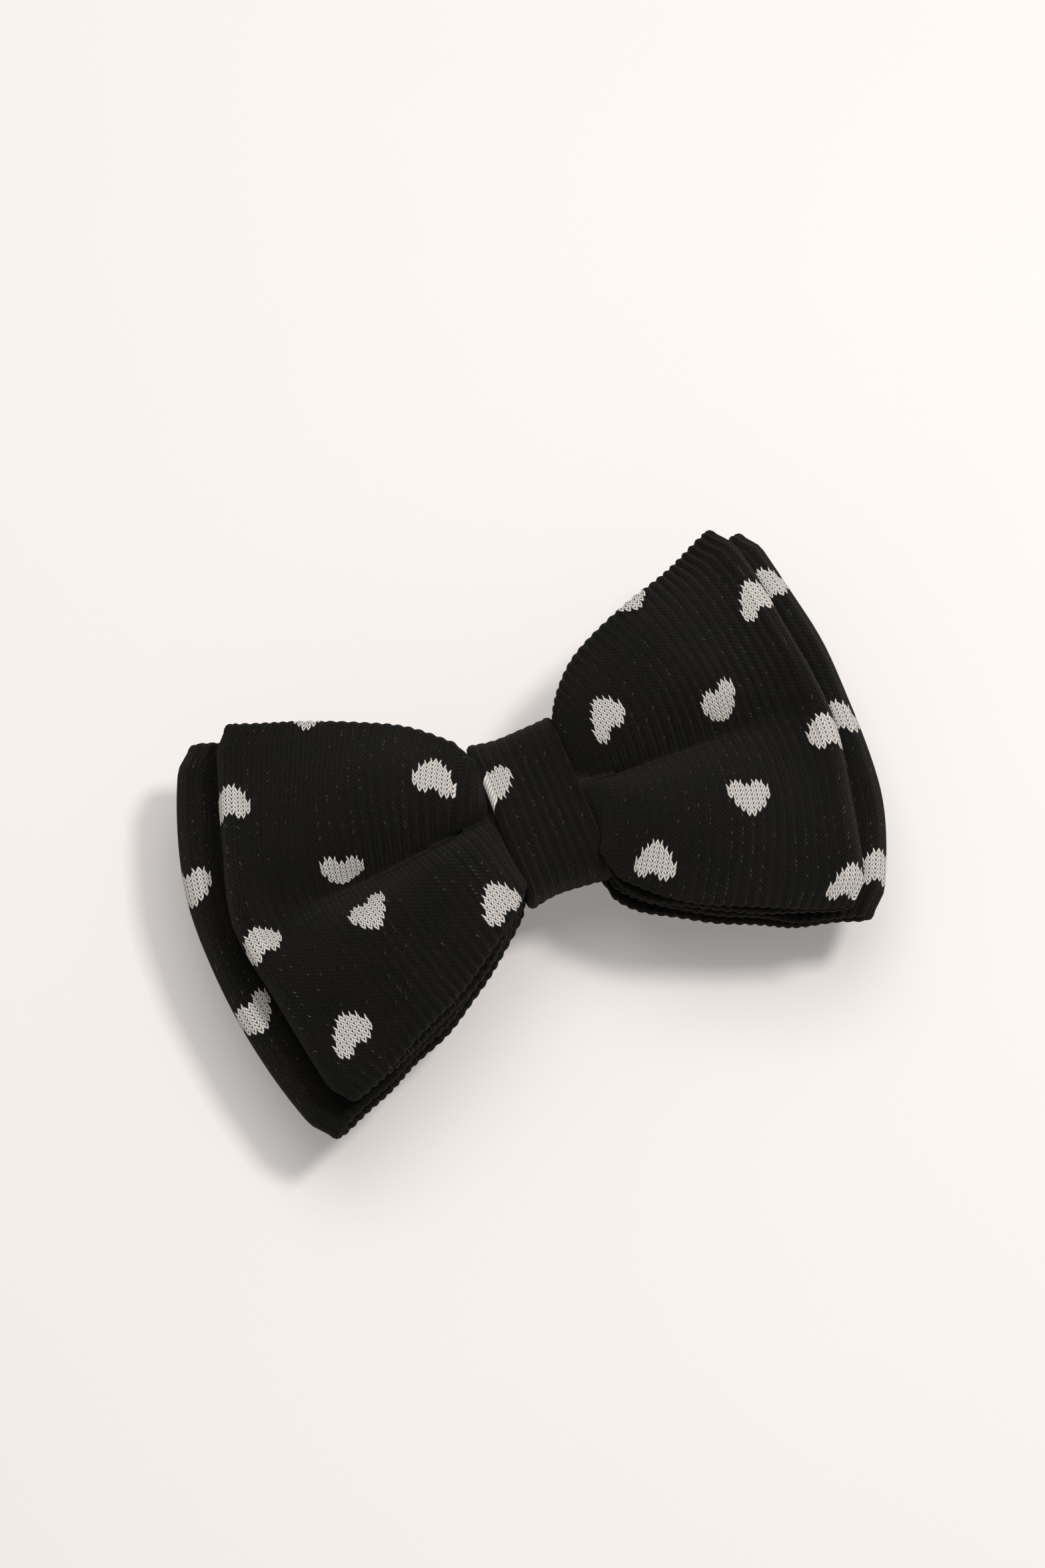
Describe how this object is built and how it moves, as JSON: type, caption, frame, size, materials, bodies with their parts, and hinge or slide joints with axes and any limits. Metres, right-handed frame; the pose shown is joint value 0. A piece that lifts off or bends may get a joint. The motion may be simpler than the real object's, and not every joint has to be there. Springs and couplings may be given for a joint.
{
  "type": "hair bow",
  "caption": "Double-loop knitted hair bow, cinched by a knitted centre band and sewn to an automatic barrette clip with a hinged clasp arm and sprung release prongs.",
  "frame": {"origin": "on the surface the bow rests on, below the middle of the bow", "axes": "+X along the bow, +Y up the bow, +Z out of its front"},
  "size_m": [0.127, 0.079, 0.0331],
  "materials": {
    "knit": "fine-gauge jacquard knit, matt, with small off-white hearts",
    "thread": "twisted sewing thread",
    "felt": "pressed felt",
    "clip_steel": "nickel-plated stamped steel, lightly worn",
    "spring_steel": "rolled spring steel strip",
    "pin_steel": "riveted steel pin"
  },
  "bodies": {
    "bow": {"front_loop": "knit", "back_loop": "knit", "center_band": "knit", "gather_thread": "thread", "front_loop_seam": "thread", "back_loop_seam": "thread", "band_seam": "thread", "felt_backing": "felt", "clip_stitches_left": "thread", "clip_stitches_right": "thread", "barrette_base": "clip_steel", "tension_leaf": "spring_steel", "hinge_pin": "pin_steel"},
    "arm": {"clasp_arm": "clip_steel"},
    "prong_front": {"release_prong_front": "clip_steel"},
    "prong_back": {"release_prong_back": "clip_steel"}
  },
  "joints": [
    {"name": "clasp_open", "type": "hinge", "parent": "bow", "child": "arm", "pos_m": [-0.037, 0, 0.0038], "axis": [0, 1, 0], "range_deg": [0, 80]},
    {"name": "squeeze_front", "type": "hinge", "parent": "bow", "child": "prong_front", "pos_m": [0.03696, -0.0019, 0.00845], "axis": [0.9683, 0, -0.2499], "range_deg": [0, 8], "stiffness_Nm_per_rad": 0.05},
    {"name": "squeeze_back", "type": "hinge", "parent": "bow", "child": "prong_back", "pos_m": [0.03696, 0.0019, 0.00845], "axis": [0.9683, 0, -0.2499], "range_deg": [-8, 0], "stiffness_Nm_per_rad": 0.05}
  ],
  "couplings": [
    {"joint": "squeeze_back", "follows": "squeeze_front", "ratio": -1}
  ]
}
